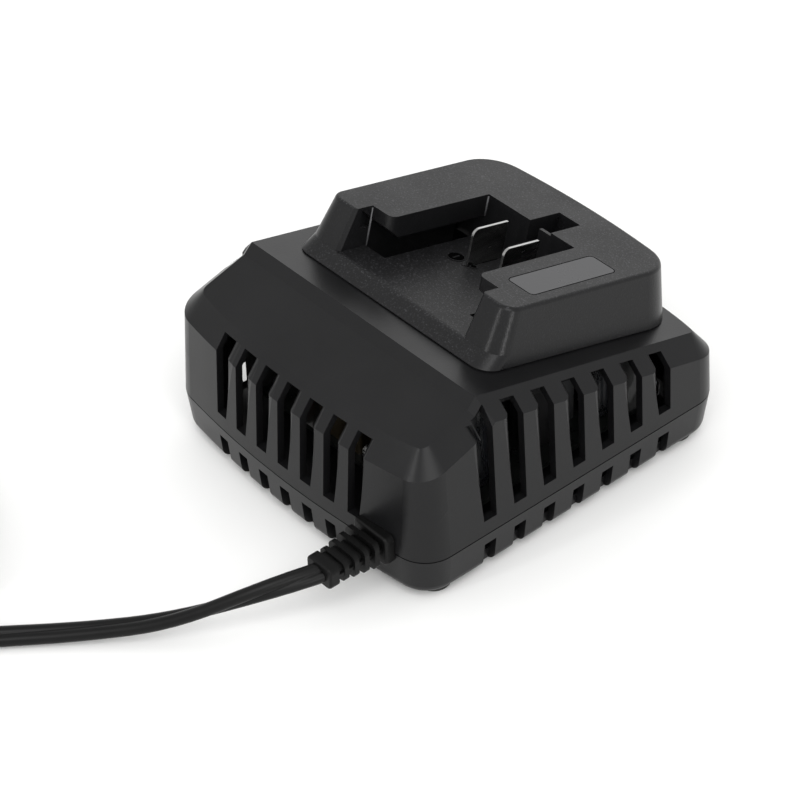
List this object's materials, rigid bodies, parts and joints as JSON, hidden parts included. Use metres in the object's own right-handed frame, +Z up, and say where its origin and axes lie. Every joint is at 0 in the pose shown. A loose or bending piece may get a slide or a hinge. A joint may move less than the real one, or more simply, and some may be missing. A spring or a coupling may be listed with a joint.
{
  "type": "power tool battery charger",
  "caption": "Wedge-shaped vented bench charger with a tilted dock for a slide-on tool battery, two contact blades, an indicator window and a flat mains cord with plug.",
  "frame": {"origin": "on the table, under the middle of the case", "axes": "+Z up, +Y toward the low rear end, -Y toward the end with the sloped panel and the cord, +X right"},
  "size_m": [0.1693, 0.2754, 0.0676],
  "materials": {
    "black_case": "fine texture",
    "black_dock": "fine grain",
    "grey_window": "smooth",
    "terminal_plastic": "plain",
    "nickel": "plated",
    "circuit_board": "lacquered",
    "fuse_glass": "clear",
    "yellow_film": "plain",
    "ferrite": "ground",
    "copper_wire": "enamelled",
    "black_moulding": "plain",
    "capacitor_sleeve": "shrunk sleeve",
    "heatsink_metal": "extruded",
    "bobbin_plastic": "plain",
    "winding_tape": "tape",
    "blue_ceramic": "dipped",
    "lead_insulation": "plain",
    "led_lens": "clear",
    "ribbon": "plain",
    "screw_steel": "zinc plated",
    "foot_rubber": "plain",
    "relief_rubber": "satin",
    "cord_jacket": "satin",
    "tie": "plain",
    "plug_plastic": "satin"
  },
  "bodies": {
    "root": {"battery_dock": "black_dock", "board_screw_1": "screw_steel", "board_screw_2": "screw_steel", "board_screw_3": "screw_steel", "board_screw_4": "screw_steel", "bridge_rectifier": "black_moulding", "bulk_capacitor": "capacitor_sleeve", "case_screw_1": "screw_steel", "case_screw_2": "screw_steel", "case_screw_3": "screw_steel", "case_screw_4": "screw_steel", "choke_core": "ferrite", "choke_windings": "copper_wire", "control_chip": "black_moulding", "cord_coil": "cord_jacket", "cord_tail": "cord_jacket", "cord_tie": "tie", "dock_screw_1": "screw_steel", "dock_screw_2": "screw_steel", "dock_screw_3": "screw_steel", "dock_screw_4": "screw_steel", "fuse_caps": "nickel", "fuse_glass": "fuse_glass", "indicator_leds": "led_lens", "indicator_window": "grey_window", "led_board": "circuit_board", "led_ribbon": "ribbon", "lower_case": "black_case", "main_board": "circuit_board", "mains_cord": "cord_jacket", "mains_leads": "lead_insulation", "negative_blade": "nickel", "optocoupler": "black_moulding", "output_capacitor_1": "capacitor_sleeve", "output_capacitor_2": "capacitor_sleeve", "output_diode": "black_moulding", "output_leads": "lead_insulation", "plug_body": "plug_plastic", "plug_pins": "nickel", "positive_blade": "nickel", "primary_heatsink": "heatsink_metal", "rubber_foot_1": "foot_rubber", "rubber_foot_2": "foot_rubber", "rubber_foot_3": "foot_rubber", "rubber_foot_4": "foot_rubber", "secondary_heatsink": "heatsink_metal", "strain_relief": "relief_rubber", "switching_transistor": "black_moulding", "terminal_block": "terminal_plastic", "terminal_screw_1": "screw_steel", "terminal_screw_2": "screw_steel", "transformer_bobbin": "bobbin_plastic", "transformer_core": "ferrite", "transformer_winding": "winding_tape", "upper_case": "black_case", "x_capacitor": "yellow_film", "y_capacitor": "blue_ceramic"}
  },
  "joints": []
}
